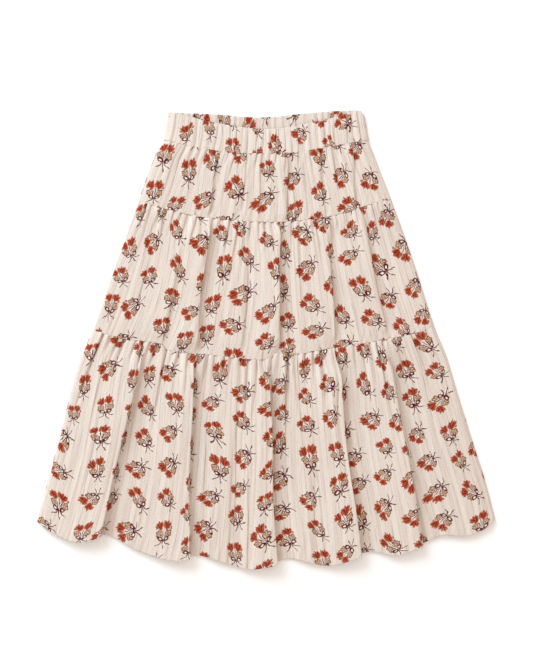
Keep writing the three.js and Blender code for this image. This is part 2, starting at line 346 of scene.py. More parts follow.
def tube(name, piece):
    """The closed shell of one tier: its front and its back in one ring, with a round side fold,
    an inner face, and rims at both ends. It has a map in cloth metres and one for baking."""
    front_columns, back_columns, row_count = piece["grid"]
    v = rows_down(row_count)[:, None]
    front, front_tucks = layer(piece, np.linspace(0, 1, front_columns + 1)[None, :], v, False)
    back, back_tucks = layer(piece, np.linspace(1, 0, back_columns + 1)[None, :], v, True)

    def side(a, b, way):
        middle = (a + b) / 2
        middle[:, 0] += way * SIDE_BULGE * np.abs(a[:, 2] - b[:, 2])
        return middle[:, None, :]

    right = side(front[:, -1], back[:, 0], 1)
    left = side(back[:, -1], front[:, 0], -1)
    ring = np.concatenate([front, right, back, left], 1)
    rows, columns = ring.shape[:2]
    step = np.linalg.norm(np.roll(ring, -1, 1) - ring, axis=2)
    split = front_columns + 1
    back_tucks = np.pad(back_tucks, ((0, 0), (1, 1)))
    halves = (step[:, :split], front_tucks), (step[:, split:], back_tucks)
    u = cloth_round(piece, v[:, 0], halves)
    w = np.repeat(v * piece["cut"][1], columns + 1, 1)

    # The wall stands out to both sides of the middle surface, thicker where the hem is turned
    along = np.roll(ring, -1, 1) - np.roll(ring, 1, 1)
    down = np.gradient(ring, axis=0)
    out = np.cross(down, along)
    out /= np.linalg.norm(out, axis=2, keepdims=True)
    in_turning = v[:, :, None] > 1 - HEM_TURNING / piece["cut"][1]
    thick = piece["thick"] + piece["turned"] * in_turning
    outer = ring + out * thick / 2
    inner = ring - out * thick / 2
    up = -down / np.linalg.norm(down, axis=2, keepdims=True)
    rim_top = ring[:1] + up[:1] * piece["thick"] * piece["round"]
    rim_bottom = ring[-1:] - up[-1:] * piece["thick"] * piece["round"]
    rim_bottom[..., 2] = np.maximum(rim_bottom[..., 2], OFF_THE_FLOOR)

    # The shell as one long grid: down the outside, round the lower rim and up the inside
    shell = np.concatenate([outer, rim_bottom, inner[::-1], rim_top], 0)
    shell[..., 2] = np.maximum(shell[..., 2], 0)
    long = shell.shape[0]
    cloth_u = np.concatenate([u, u[-1:], u[::-1], u[:1], u[:1]], 0)
    cloth_w = np.concatenate([w, w[-1:], w[::-1], w[:1], w[:1]], 0)
    index = np.arange(long * columns).reshape(long, columns)
    r, c = np.meshgrid(np.arange(long), np.arange(columns), indexing="ij")
    r, c = r.ravel(), c.ravel()
    r2, c2 = (r + 1) % long, (c + 1) % columns
    faces = np.stack([index[r, c], index[r2, c], index[r2, c2], index[r, c2]], 1)

    mesh = bpy.data.meshes.new(name)
    mesh.from_pydata(shell.reshape(-1, 3).tolist(), [], faces.tolist())
    cloth = mesh.uv_layers.new(name="cloth")
    corners = (r, c), (r + 1, c), (r + 1, c + 1), (r, c + 1)
    at = np.stack([np.stack([cloth_u[corner], cloth_w[corner]], 1) for corner in corners], 1)
    cloth.data.foreach_set("uv", at.ravel())

    # The baking map: the four faces of the tube one above the other, none on another
    bake = mesh.uv_layers.new(name="OFBake")
    is_front = c <= front_columns
    back_split = back_columns + 2
    across = np.where(is_front, c / split, (c - split) / back_split)
    wide = np.where(is_front, 1 / split, 1 / back_split)
    is_out = r < rows
    strip = np.array(piece["bake"])[np.where(is_out, 0, 2) + np.where(is_front, 0, 1)]
    share = np.where(is_out, r / rows, (r - rows) / rows)
    top = strip[:, 0] + strip[:, 1] * share
    tall = strip[:, 1] / rows
    usable = 1 - 2 * BAKE_MARGIN
    x0, x1 = BAKE_MARGIN + usable * across, BAKE_MARGIN + usable * (across + wide)
    corners = (x0, top), (x0, top + tall), (x1, top + tall), (x1, top)
    at = np.stack([np.stack(corner, 1) for corner in corners], 1)
    bake.data.foreach_set("uv", at.ravel())
    mesh.polygons.foreach_set("use_smooth", np.ones(len(faces), bool))
    mesh.polygons.foreach_set("material_index", np.where(is_out, 0, 1))
    mesh.update()
    thing = bpy.data.objects.new(name, mesh)
    bpy.context.scene.collection.objects.link(thing)
    return thing


def node(tree, kind, settings, *inputs):
    """Adds a shader node and feeds its inputs in order with values or with other outputs."""
    made = tree.nodes.new("ShaderNode" + kind)
    for key, value in settings.items():
        setattr(made, key, value)
    for socket, value in zip(made.inputs, inputs):
        if isinstance(value, bpy.types.NodeSocket):
            tree.links.new(value, socket)
        elif value is not None:
            socket.default_value = value
    return made


def calc(tree, operation, *inputs):
    """A sum on numbers, as the output of a Math node."""
    return node(tree, "Math", {"operation": operation}, *inputs).outputs[0]


def vector(tree, operation, *inputs):
    """A sum on vectors, as the output of a Vector Math node."""
    return node(tree, "VectorMath", {"operation": operation}, *inputs).outputs[0]


def noise(tree, at, scale, detail):
    """A flat noise at a place on the cloth."""
    return node(tree, "TexNoise", {"noise_dimensions": "2D"}, at, None, scale, detail)


def fade_from(tree, value, low, high):
    """0 at low and 1 at high."""
    return node(tree, "MapRange", {}, value, low, high, 0.0, 1.0).outputs[0]


def blend_colour(tree, share, first, second):
    """The first colour turning to the second as the share goes from 0 to 1."""
    made = tree.nodes.new("ShaderNodeMix")
    made.data_type = "RGBA"
    for socket, value in (("Factor_Float", share), ("A_Color", first), ("B_Color", second)):
        target = next(i for i in made.inputs if i.identifier == socket)
        if isinstance(value, bpy.types.NodeSocket):
            tree.links.new(value, target)
        else:
            target.default_value = value
    return next(o for o in made.outputs if o.identifier == "Result_Color")


def new_group(name, outputs):
    """A node group that takes a place on the cloth, with its input and output nodes."""
    tree = bpy.data.node_groups.new(name, "ShaderNodeTree")
    tree.interface.new_socket("Cloth", in_out="INPUT", socket_type="NodeSocketVector")
    for label in outputs:
        tree.interface.new_socket(label, in_out="OUTPUT", socket_type="NodeSocketFloat")
    return tree, tree.nodes.new("NodeGroupInput"), tree.nodes.new("NodeGroupOutput")


# The print's posy in millimetres round its middle, upright. Tulips are x, y of the foot, tilt,
# half height, half width of a petal and spread of the petals; blossoms are x, y, half width,
# half height and turn; buds, loops and leaves are x, y, half length, half width and turn; lines
# are x, y of the start, x, y of the end and half width.
TULIPS = [(-3.2, 2.3, 24, 5.3, 1.9, 28), (3.4, 2.7, -17, 5.8, 2.0, 27)]
BLOSSOMS = [(-5.7, -1.6, 4.7, 4.2, 10), (5.9, -1.5, 4.4, 5.0, -24)]
BUDS = [(0.3, 7.8, 2.8, 0.8, -3), (9.8, 4.6, 1.7, 0.9, -46), (-9.6, 4.4, 1.7, 0.9, 44)]
BOW_LOOPS = [(-4.0, -6.8, 3.9, 2.4, 72), (4.0, -6.5, 3.7, 2.3, -62)]
PALE_LEAVES = [(-1.9, -1.6, 4.4, 1.3, 22), (2.1, -1.4, 4.4, 1.2, -20), (0.9, -12.8, 4.2, 1.1, 12)]
BOW_LINES = [
    (-0.6, -7.0, -0.2, -8.0, 0.85), (-0.9, -8.4, -3.3, -12.8, 0.60),
    (-3.1, -12.4, -7.6, -15.2, 0.55), (-0.2, -8.3, 0.4, -13.6, 0.55),
    (0.3, -13.2, 2.5, -18.4, 0.52), (0.5, -7.9, 3.8, -11.8, 0.55),
    (3.6, -11.6, 8.6, -13.2, 0.50), (-3.0, 1.8, -0.9, -5.6, 0.46),
    (3.2, 2.0, 0.9, -5.6, 0.46), (0.3, 5.2, 0.1, -4.6, 0.42),
]

# How it is drawn: a side petal's share of the middle one's length, the lines between petals,
# a blossom's petals and rim, its eye, and how far an edge blurs
SIDE_PETAL = 0.9
PETAL_LINE_AT, PETAL_LINE_LONG, PETAL_LINE_HALF = 0.6, 0.80, 0.8
PETALS = 5
PETAL_WAVE, PETAL_MEAN = 0.11, 0.90
BLOSSOM_RIM = 1.25
EYE, EYE_EDGES, EYE_INK = 0.26, (0.14, 0.05), 0.7
PARTING_EDGES, PARTING_START = (-0.15, -0.75), (0.2, 0.45)
BUD_LINE = 0.7
BOW_LINE = 1.35
BLUR, BLUR_MOST = 0.25, 0.45

# How it is laid out: each posy's cell, its size, its three turns and the number just under three
# that picks one of them, how far it strays across, down and round, how columns are shifted, and
# how far the layout is drawn aside and the drawing wobbles
POSY_CELL = (40.5, 44.5)
POSY_SIZE = 1.13
POSY_TURNS = (3.0, 29.0, 122.0)
TURN_PICK = 2.999
STRAY_ACROSS, STRAY_DOWN, STRAY_ROUND = 8.0, 2.6, 0.3
COLUMN_STRAY, COLUMN_SHIFT = 0.4, 0.5
DRAW_SCALE, DRAW = 0.011, 26
WOBBLE_SCALE, WOBBLE = 0.17, 3.6
MILLIMETRE = 1000.0


def posy_print():
    """Tossed posies of two tulips and two blossoms tied with a ribbon bow, three ways up."""
    labels = ("Tulip", "Tulip Line", "Blossom", "Blossom Line", "Ribbon", "Pale")
    tree, given, gives = new_group("posy_print", labels)
    wide, tall = POSY_CELL
    scaled = node(tree, "VectorMath", {"operation": "SCALE"}, given.outputs["Cloth"])
    scaled.inputs["Scale"].default_value = MILLIMETRE
    at = scaled.outputs[0]
    drift = noise(tree, at, DRAW_SCALE, 0.0).outputs["Color"]
    drawn = vector(tree, "MULTIPLY_ADD", drift, (DRAW, DRAW, 0), at)
    split = node(tree, "SeparateXYZ", {}, drawn)
    column = calc(tree, "FLOOR", calc(tree, "DIVIDE", split.outputs[0], wide))
    start = node(tree, "TexWhiteNoise", {"noise_dimensions": "1D"})
    tree.links.new(column, start.inputs["W"])
    odd = calc(tree, "MULTIPLY", calc(tree, "FLOORED_MODULO", column, 2.0), COLUMN_SHIFT)
    start = calc(tree, "MULTIPLY_ADD", start.outputs["Value"], COLUMN_STRAY, odd)
    upward = calc(tree, "MULTIPLY", split.outputs[1], -1.0)
    shifted = calc(tree, "MULTIPLY_ADD", start, tall, upward)
    row = calc(tree, "FLOOR", calc(tree, "DIVIDE", shifted, tall))
    middle_x = calc(tree, "MULTIPLY_ADD", column, wide, wide / 2)
    middle_y = calc(tree, "MULTIPLY_ADD", row, tall, tall / 2)
    x = calc(tree, "SUBTRACT", split.outputs[0], middle_x)
    y = calc(tree, "SUBTRACT", shifted, middle_y)
    cell = node(tree, "CombineXYZ", {}, column, row)
    toss = node(tree, "TexWhiteNoise", {"noise_dimensions": "3D"}, cell.outputs[0])
    toss_split = node(tree, "SeparateXYZ", {}, toss.outputs["Color"])
    stray_x, stray_y, stray_turn = toss_split.outputs
    stray_x = calc(tree, "MULTIPLY_ADD", stray_x, STRAY_ACROSS, -STRAY_ACROSS / 2)
    stray_y = calc(tree, "MULTIPLY_ADD", stray_y, STRAY_DOWN, -STRAY_DOWN / 2)
    x = calc(tree, "ADD", x, stray_x)
    y = calc(tree, "ADD", y, stray_y)

    # Which way up each posy lies
    kind = calc(tree, "FLOOR", calc(tree, "MULTIPLY", toss.outputs["Value"], TURN_PICK))
    is_one = calc(tree, "COMPARE", kind, 1.0, 0.1)
    is_two = calc(tree, "COMPARE", kind, 2.0, 0.1)
    first, second, third = (math.radians(turn) for turn in POSY_TURNS)
    turn = calc(tree, "MULTIPLY_ADD", is_one, second - first, first)
    turn = calc(tree, "MULTIPLY_ADD", is_two, third - first, turn)
    turn = calc(tree, "MULTIPLY_ADD", stray_turn, STRAY_ROUND, turn)
    place = node(tree, "CombineXYZ", {}, x, y)
    spun = node(tree, "VectorRotate", {"rotation_type": "Z_AXIS"}, place.outputs[0])
    tree.links.new(calc(tree, "MULTIPLY", turn, -1.0), spun.inputs["Angle"])
    wobble = noise(tree, at, WOBBLE_SCALE, 2.0).outputs["Color"]
    moved = vector(tree, "MULTIPLY_ADD", wobble, (WOBBLE, WOBBLE, 0), spun.outputs[0])
    smaller, back = (1 / POSY_SIZE, 1 / POSY_SIZE, 0), (-WOBBLE / 2, -WOBBLE / 2, 0)
    local = vector(tree, "MULTIPLY_ADD", moved, smaller, back)

    def from_middle(x, y, long, half, turn):
        spot = (x, y, 0), (0, 0, math.radians(turn)), (half, long, 1)
        return node(tree, "Mapping", {"vector_type": "TEXTURE"}, local, *spot).outputs[0]

    def far_from(spot):
        return node(tree, "VectorMath", {"operation": "LENGTH"}, spot).outputs["Value"]

    def leaf_shape(row):
        parts = node(tree, "SeparateXYZ", {}, from_middle(*row))
        aside = calc(tree, "ABSOLUTE", parts.outputs[0])
        away = calc(tree, "MULTIPLY_ADD", parts.outputs[1], parts.outputs[1], aside)
        return filled(away, row[3])

    def line_shape(row):
        x, y, end_x, end_y, half = row
        long = math.dist((x, y), (end_x, end_y)) / 2 + half
        turn = math.degrees(math.atan2(x - end_x, end_y - y))
        spot = from_middle((x + end_x) / 2, (y + end_y) / 2, long, half, turn)
        parts = node(tree, "SeparateXYZ", {}, spot)
        aside = calc(tree, "ABSOLUTE", parts.outputs[0])
        square = calc(tree, "MULTIPLY", parts.outputs[1], parts.outputs[1])
        return filled(calc(tree, "MULTIPLY_ADD", square, square, aside), half)

    def joined(masks):
        whole = masks[0]
        for mask in masks[1:]:
            whole = calc(tree, "MAXIMUM", whole, mask)
        return whole

    def filled(away, half):
        soft = min(BLUR / half, BLUR_MOST)
        return fade_from(tree, away, 1.0 + soft, 1.0 - soft)

    def outlined(away, half, line):
        inside = 1 - line / half / 2
        ring = calc(tree, "ABSOLUTE", calc(tree, "SUBTRACT", away, inside))
        return fade_from(tree, ring, (line / 2 + BLUR) / half, (line / 2 - BLUR) / half)

    petals, petal_lines = [], []
    for x, y, tilt, tall, half, spread in TULIPS:
        for aside in (spread, 0, -spread):
            long = tall * (SIDE_PETAL if aside else 1)
            way = math.radians(tilt + aside)
            middle = x - long * math.sin(way), y + long * math.cos(way)
            petals.append(leaf_shape((*middle, long, half, tilt + aside)))
        for aside in (PETAL_LINE_AT * spread, -PETAL_LINE_AT * spread):
            way = math.radians(tilt + aside)
            middle = x - tall * math.sin(way), y + tall * math.cos(way)
            row = (*middle, tall * PETAL_LINE_LONG, PETAL_LINE_HALF, tilt + aside)
            petal_lines.append(leaf_shape(row))
    lobes, rims = [], []
    for x, y, wide_half, tall_half, turn in BLOSSOMS:
        spot = from_middle(x, y, tall_half, wide_half, turn)
        away = far_from(spot)
        parts = node(tree, "SeparateXYZ", {}, spot)
        angle = calc(tree, "ARCTAN2", parts.outputs[1], parts.outputs[0])
        wave = calc(tree, "COSINE", calc(tree, "MULTIPLY", angle, PETALS))
        edge = calc(tree, "MULTIPLY_ADD", wave, PETAL_WAVE, PETAL_MEAN)
        ratio = calc(tree, "DIVIDE", away, edge)
        lobes.append(filled(ratio, wide_half))
        rim = outlined(ratio, wide_half, BLOSSOM_RIM)
        parting = fade_from(tree, wave, *PARTING_EDGES)
        parting = calc(tree, "MULTIPLY", parting, fade_from(tree, away, *PARTING_START))
        parting = calc(tree, "MULTIPLY", parting, lobes[-1])
        eye = calc(tree, "ABSOLUTE", calc(tree, "SUBTRACT", away, EYE))
        eye = calc(tree, "MULTIPLY", fade_from(tree, eye, *EYE_EDGES), EYE_INK)
        rims.append(joined([rim, parting, eye]))
    buds = [(far_from(from_middle(*row)), row[3]) for row in BUDS]
    rims.extend(outlined(away, half, BUD_LINE) for away, half in buds)
    loops = [(far_from(from_middle(*row)), row[3]) for row in BOW_LOOPS]
    lines = [outlined(away, half, BOW_LINE) for away, half in loops]
    pale = [filled(away, half) for away, half in loops]
    results = (
        joined(petals),
        joined(petal_lines),
        joined(lobes + [filled(away, half) for away, half in buds]),
        joined(rims),
        joined(lines + [line_shape(row) for row in BOW_LINES]),
        joined(pale + [leaf_shape(row) for row in PALE_LEAVES]),
    )
    for socket, value in zip(gives.inputs, results):
        tree.links.new(value, socket)
    return tree


# The weave: how far apart the groups of cords are, a group's width and soft edge, the cords' own
# spacing and edges, and how far they drift. Then the lilac line: how far beside the group, its
# half width and solid half, and how it breaks up. Then the long crinkle streaks, which are painted
# crease shade in the colour and relief in the bump, the plain threads and how high each of the
# three stands.
CORD_PERIOD = 0.0170
CORD_GROUP, GROUP_EDGE = 0.0072, 0.0004
CORD_PITCH = 0.00155
CORD_EDGES = (-0.2, 0.8)
CORD_DRIFT_SCALE, CORD_DRIFT = 9.0, 0.003
LINE_BESIDE = 0.0007
LINE_HALF = (0.0007, 0.0002)
BREAK_SCALE, BREAK_EDGES = (420.0, 55.0, 1.0), (0.38, 0.62)
CRINKLE_STREAK_SCALE = (300.0, 9.0, 1.0)
THREAD_SCALE, THREAD_WANDER = 700.0, 0.6
CORD_HIGH, PLAIN_HIGH, CRINKLE_STREAK_HIGH = 0.6, 0.16, 0.9


def corded_weave():
    """Plain cotton with groups of fine raised cords down it and a thin lilac line beside each."""
    labels = ("Cord", "Lilac Line", "Crinkle Streak", "Height")
    tree, given, gives = new_group("corded_weave", labels)
    cloth = given.outputs["Cloth"]
    drift = noise(tree, cloth, CORD_DRIFT_SCALE, 1.0).outputs[0]
    split = node(tree, "SeparateXYZ", {}, cloth)
    across = calc(tree, "MULTIPLY_ADD", drift, CORD_DRIFT, split.outputs[0])
    phase = calc(tree, "FLOORED_MODULO", across, CORD_PERIOD)
    middle = calc(tree, "ABSOLUTE", calc(tree, "SUBTRACT", phase, CORD_PERIOD / 2))
    group = fade_from(tree, middle, CORD_GROUP / 2, CORD_GROUP / 2 - GROUP_EDGE)
    wave = calc(tree, "COSINE", calc(tree, "MULTIPLY", across, 2 * math.pi / CORD_PITCH))
    cord = calc(tree, "MULTIPLY", group, fade_from(tree, wave, *CORD_EDGES))
    broken = noise(tree, vector(tree, "MULTIPLY", cloth, BREAK_SCALE), 1.0, 2.0).outputs[0]
    away = calc(tree, "SUBTRACT", middle, CORD_GROUP / 2 + LINE_BESIDE)
    line = fade_from(tree, calc(tree, "ABSOLUTE", away), *LINE_HALF)
    line = calc(tree, "MULTIPLY", line, fade_from(tree, broken, *BREAK_EDGES))
    # Long streaks down the cloth where it crinkles: painted crease shade in the colour, relief in
    # the bump
    crinkle_streak = noise(tree, vector(tree, "MULTIPLY", cloth, CRINKLE_STREAK_SCALE), 1.0, 3.0).outputs[0]
    warp = node(tree, "TexWave", {"bands_direction": "X"}, cloth, THREAD_SCALE, THREAD_WANDER)
    weft = node(tree, "TexWave", {"bands_direction": "Y"}, cloth, THREAD_SCALE, THREAD_WANDER)
    plain = calc(tree, "MULTIPLY", warp.outputs["Fac"], weft.outputs["Fac"])
    plain = calc(tree, "MULTIPLY", plain, PLAIN_HIGH)
    height = calc(tree, "MULTIPLY_ADD", cord, CORD_HIGH, plain)
    height = calc(tree, "MULTIPLY_ADD", crinkle_streak, CRINKLE_STREAK_HIGH, height)
    for socket, value in zip(gives.inputs, (cord, line, crinkle_streak, height)):
        tree.links.new(value, socket)
    return tree


COTTON = (0.722, 0.631, 0.551, 1)
COTTON_BRIGHT = (0.896, 0.836, 0.764, 1)
# The ground's darker tone: random mottle from the grain, and painted crease shade along the crinkle
# streaks
COTTON_MOTTLE_AND_CREASE_SHADE = (0.600, 0.503, 0.447, 1)
# The colour of the thin darker lilac line beside each group of cords
LILAC_LINE_COLOUR = (0.382, 0.298, 0.369, 1)
RUST = (0.468, 0.080, 0.027, 1)
RUST_DEEP = (0.182, 0.018, 0.007, 1)
TAN = (0.660, 0.408, 0.252, 1)
TAN_DEEP = (0.140, 0.055, 0.035, 1)
PLUM = (0.096, 0.005, 0.005, 1)

# How much each ink covers, in the order of printing, then how the grain mottles the ground and
# the crinkle streaks paint crease shade on it, how much the cords and the lilac line show, and how
# the inks wear off on the cords and turn patchy
BLOSSOM_INK, BLOSSOM_LINE_INK, PALE_INK = 0.88, 0.95, 0.45
TULIP_INK, TULIP_LINE_INK, RIBBON_INK = 1.0, 1.0, 1.0
GRAIN_SCALE = 620.0
MOTTLE_AND_SHADE_EDGES, PATCHY_EDGES = (0.36, 0.60), (0.30, 0.62)
CORD_SHOWS, LILAC_SHOWS = 0.6, 0.5
CORD_WEAR = -0.06
TAN_EVEN = 0.7
RUST_EVEN = 0.35
CLOTH_ROUGHNESS = 0.88
SHEEN, SHEEN_ROUGHNESS = 0.02, 0.5
SPECULAR = 0.12
RELIEF, RELIEF_DEPTH = 0.7, 0.00035

PRINT_GROUP = posy_print()
WEAVE_GROUP = corded_weave()


def printed_cotton(name, shift, ink):
    """The skirt's cotton: corded weave and posies, moved by a shift in metres along the cloth."""
    material = bpy.data.materials.new(name)
    material.use_nodes = True
    tree = material.node_tree
    surface = tree.nodes["Principled BSDF"]
    uv = node(tree, "UVMap", {"uv_map": "cloth"})
    cloth = vector(tree, "ADD", uv.outputs[0], (*shift, 0))
    weave = node(tree, "Group", {"node_tree": WEAVE_GROUP}, cloth)
    posies = node(tree, "Group", {"node_tree": PRINT_GROUP}, cloth)
    grain = noise(tree, cloth, GRAIN_SCALE, 2.0).outputs[0]

    # The grain mottles the ground at random, and the crinkle streaks paint crease shade down it
    crinkle_shade = calc(tree, "MULTIPLY", weave.outputs["Crinkle Streak"], 0.5)
    mottle_and_crease_shade = calc(tree, "MULTIPLY_ADD", grain, 0.5, crinkle_shade)
    colour = blend_colour(tree, fade_from(tree, mottle_and_crease_shade, *MOTTLE_AND_SHADE_EDGES), COTTON_MOTTLE_AND_CREASE_SHADE, COTTON)
    corded = calc(tree, "MULTIPLY", weave.outputs["Cord"], CORD_SHOWS)
    colour = blend_colour(tree, corded, colour, COTTON_BRIGHT)
    lined = calc(tree, "MULTIPLY", weave.outputs["Lilac Line"], LILAC_SHOWS)
    colour = blend_colour(tree, lined, colour, LILAC_LINE_COLOUR)

    patchy = fade_from(tree, grain, *PATCHY_EDGES)
    tan = blend_colour(tree, patchy, TAN_DEEP, TAN)
    tan = blend_colour(tree, TAN_EVEN, tan, TAN)
    rust_share = calc(tree, "MULTIPLY_ADD", patchy, 1 - RUST_EVEN, RUST_EVEN)
    rust = blend_colour(tree, rust_share, RUST_DEEP, RUST)
    worn = calc(tree, "MULTIPLY_ADD", weave.outputs["Cord"], CORD_WEAR, ink)
    for label, cover, ink_colour in (
        ("Blossom", BLOSSOM_INK, tan),
        ("Blossom Line", BLOSSOM_LINE_INK, TAN_DEEP),
        ("Pale", PALE_INK, COTTON_BRIGHT),
        ("Tulip", TULIP_INK, rust),
        ("Tulip Line", TULIP_LINE_INK, RUST_DEEP),
        ("Ribbon", RIBBON_INK, PLUM),
    ):
        inked = calc(tree, "MULTIPLY", posies.outputs[label], worn)
        inked = calc(tree, "MULTIPLY", inked, cover)
        colour = blend_colour(tree, inked, colour, ink_colour)
    tree.links.new(colour, surface.inputs["Base Color"])

    surface.inputs["Roughness"].default_value = CLOTH_ROUGHNESS
    surface.inputs["Sheen Weight"].default_value = SHEEN
    surface.inputs["Sheen Roughness"].default_value = SHEEN_ROUGHNESS
    surface.inputs["Specular IOR Level"].default_value = SPECULAR
    bump = node(tree, "Bump", {}, RELIEF, RELIEF_DEPTH)
    tree.links.new(weave.outputs["Height"], bump.inputs["Height"])
    tree.links.new(bump.outputs[0], surface.inputs["Normal"])
    return material


def dressed(thing, outside, inside):
    """Gives a tube the materials of its two faces and joins it to the frame."""
    thing.data.materials.append(outside)
    thing.data.materials.append(inside)
    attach(thing, "root")


FULL_INK = 1.0
BAND_SHIFT = (0.020, 0.011)

# Each piece: its edges, the wall of its solid, the cloth's own thickness, what a turned hem adds
# to it and how round its rims are; its gathers' number, height, shortest and longest reach; its
# large folds; how high it lies at its top and bottom; its small folds' number, lowest and
# highest, shortest and longest; its crinkles' height; how far it turns in below and above a
# seam; its cut all round and down; its mesh's columns in front and behind and its rows; and the
# places on the baking map of its outside front and back and inside front and back, as start and
# height.
WAISTBAND = {
    "top": WAIST_FRONT, "back_top": WAIST_BACK, "bottom": BAND_SEAM, "hem": False,
    "wall": 0.0024, "thick": 0.0016, "turned": 0.0, "round": 0.5,
    "gathers": (29, 0.0014, 0.120, 0.200), "folds": [], "loft": (-0.0006, 0.0014),
    "small_folds": (30, 0.0002, 0.0008, 0.8, 2.0),
    "crinkle": 0.00012, "dip": (0.0008, 0.0), "cut": (0.696, 0.037), "grid": (520, 300, 16),
    "bake": [(0.655, 0.335), (0.50, 0.145), (0.345, 0.145), (0.005, 0.33)],
}
waistband = tube("waistband", WAISTBAND)
band_cotton = printed_cotton("waistband_cotton", BAND_SHIFT, FULL_INK)
dressed(waistband, band_cotton, band_cotton)
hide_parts("waistband_front", "waistband_back")

# The upper tier: the yoke that hangs from the waistband. It is as wide as the casing strip, so
# the elastic gathers it, and the gathers die away before its lower seam.

CLOTH_WALL = 0.0012
CLOTH_THICK = 0.0006
WRONG_SIDE_INK = 0.3
TIER_BAKE = [(0.46, 0.53), (0.10, 0.35), (0.055, 0.04), (0.005, 0.04)]
UPPER_SHIFT = (0.120, 0.023)
UPPER_SEAM = [
    (-0.174, 0.188), (-0.127, 0.175), (-0.076, 0.165), (-0.008, 0.160),
    (0.050, 0.162), (0.107, 0.172), (0.130, 0.180), (0.170, 0.191),
]
# Folds of a tier: x of the steep right edge at the top, middle and bottom, width of the rise,
# width of the drop and of the hollow, height at the top and bottom, depth of the hollow, lean,
# and where the fold starts and ends
UPPER_FOLDS = [
    (-0.070, -0.073, -0.080, 0.024, 0.003, 0.005, 0.0014, 0.0020, 0.0018, 0.0018, 0.00, 1.00),
    (-0.028, -0.032, -0.038, 0.020, 0.003, 0.004, 0.0008, 0.0010, 0.0008, 0.0008, 0.00, 0.90),
    (0.029, 0.028, 0.026, 0.026, 0.003, 0.005, 0.0014, 0.0018, 0.0018, 0.0018, 0.00, 1.00),
    (0.070, 0.074, 0.080, 0.022, 0.003, 0.004, 0.0008, 0.0012, 0.0008, 0.0008, 0.00, 1.00),
    (0.116, 0.118, 0.121, 0.024, 0.003, 0.005, 0.0012, 0.0018, 0.0012, 0.0014, 0.00, 1.00),
]
UPPER_TIER = {
    "top": BAND_SEAM, "back_top": BAND_SEAM, "bottom": UPPER_SEAM, "hem": False,
    "wall": CLOTH_WALL, "thick": CLOTH_THICK, "turned": 0.0, "round": 0.3,
    "gathers": (29, 0.0016, 0.024, 0.110), "folds": UPPER_FOLDS, "loft": (0.0034, 0.0022),
    "small_folds": (22, 0.0003, 0.0012, 0.4, 1.0),
    "crinkle": 0.00022, "dip": (0.0001, 0.0002), "cut": (0.696, 0.095), "grid": (520, 160, 24),
    "bake": TIER_BAKE,
}
upper_tier = tube("upper_tier", UPPER_TIER)
dressed(
    upper_tier,
    printed_cotton("upper_tier_cotton", UPPER_SHIFT, FULL_INK),
    printed_cotton("upper_tier_wrong_side", UPPER_SHIFT, WRONG_SIDE_INK),
)
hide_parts("upper_tier_front", "upper_tier_back")

# The middle tier: a longer strip of the same cotton, gathered along its top and sewn onto the
# upper tier. Its gathers die away on the way down, and folds take over that widen to the seam.

MIDDLE_SHIFT = (0.044, 0.149)
MIDDLE_SEAM = [
    (-0.234, 0.013), (-0.202, 0.002), (-0.143, -0.006), (-0.132, -0.015), (-0.075, -0.021),
    (-0.020, -0.027), (0.004, -0.026), (0.013, -0.019), (0.050, -0.019), (0.092, -0.011),
    (0.146, -0.003), (0.203, 0.009), (0.227, 0.018),
]
MIDDLE_FOLDS = [
    (-0.110, -0.126, -0.146, 0.040, 0.008, 0.016, 0.0010, 0.0034, 0.0016, 0.0015, 0.20, 1.02),
    (-0.076, -0.088, -0.096, 0.046, 0.006, 0.020, 0.0036, 0.0056, 0.0030, 0.0045, 0.00, 1.02),
    (-0.028, -0.032, -0.036, 0.028, 0.007, 0.010, 0.0012, 0.0020, 0.0008, 0.0010, 0.20, 1.00),
    (0.020, 0.017, 0.018, 0.042, 0.006, 0.018, 0.0046, 0.0066, 0.0034, 0.0055, 0.00, 1.02),
    (0.080, 0.088, 0.093, 0.044, 0.006, 0.016, 0.0030, 0.0048, 0.0026, 0.0035, 0.04, 1.02),
    (0.130, 0.145, 0.166, 0.042, 0.006, 0.014, 0.0032, 0.0040, 0.0022, 0.0030, 0.00, 1.00),
]
MIDDLE_TIER = {
    "top": UPPER_SEAM, "back_top": UPPER_SEAM, "bottom": MIDDLE_SEAM, "hem": False,
    "wall": CLOTH_WALL, "thick": CLOTH_THICK, "turned": 0.0, "round": 0.3,
    "gathers": (36, 0.0028, 0.026, 0.120), "folds": MIDDLE_FOLDS, "loft": (0.0022, 0.0026),
    "small_folds": (24, 0.0004, 0.0015, 0.25, 0.65),
    "crinkle": 0.00024, "dip": (0.0014, 0.0002), "cut": (1.000, 0.186), "grid": (660, 180, 32),
    "bake": TIER_BAKE,
}
middle_tier = tube("middle_tier", MIDDLE_TIER)
dressed(
    middle_tier,
    printed_cotton("middle_tier_cotton", MIDDLE_SHIFT, FULL_INK),
    printed_cotton("middle_tier_wrong_side", MIDDLE_SHIFT, WRONG_SIDE_INK),
)
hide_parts("middle_tier_front", "middle_tier_back")

# The lower tier: the longest strip, gathered along its top onto the middle tier, with a narrow
# turned hem. Spread on the floor, it falls in broad folds that end in the waves of the hem.

